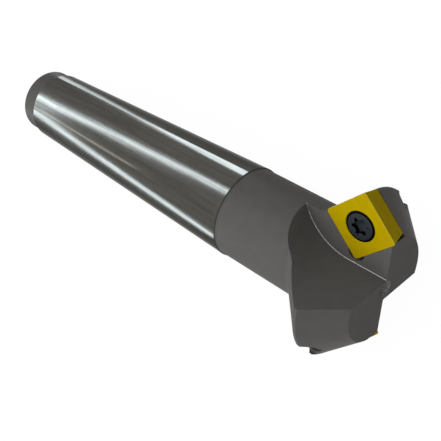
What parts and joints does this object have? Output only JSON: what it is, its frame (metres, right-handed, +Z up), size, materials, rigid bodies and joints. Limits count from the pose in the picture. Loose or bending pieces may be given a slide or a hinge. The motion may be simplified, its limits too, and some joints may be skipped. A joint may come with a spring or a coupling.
{
  "type": "indexable chamfer milling cutter",
  "caption": "Chamfer milling cutter with a self-holding taper shank and square screwed-on inserts set at 45 degrees in a double-coned head with chip gullets.",
  "frame": {"origin": "On the surface that the cutter lies on, under the middle of its bounding box.", "axes": "+Z up from that surface. +X along the tool from shank to nose, seen from above: the tool's own axis rises 3 degrees towards the nose, because the head is wider than the shank. +Y to the left of someone who looks towards the nose."},
  "size_m": [0.1276, 0.0412, 0.0317],
  "materials": {
    "body_steel": "hardened tool steel: bright ground taper, dark oxide-finished neck and head",
    "insert_coating": "satin yellow hard coating on cemented carbide",
    "screw_steel": "blue-black oxide on high-strength steel"
  },
  "bodies": {
    "root": {"cutter_body": "body_steel", "insert_1": "insert_coating", "insert_screw_1": "screw_steel", "insert_2": "insert_coating", "insert_screw_2": "screw_steel"}
  },
  "joints": []
}
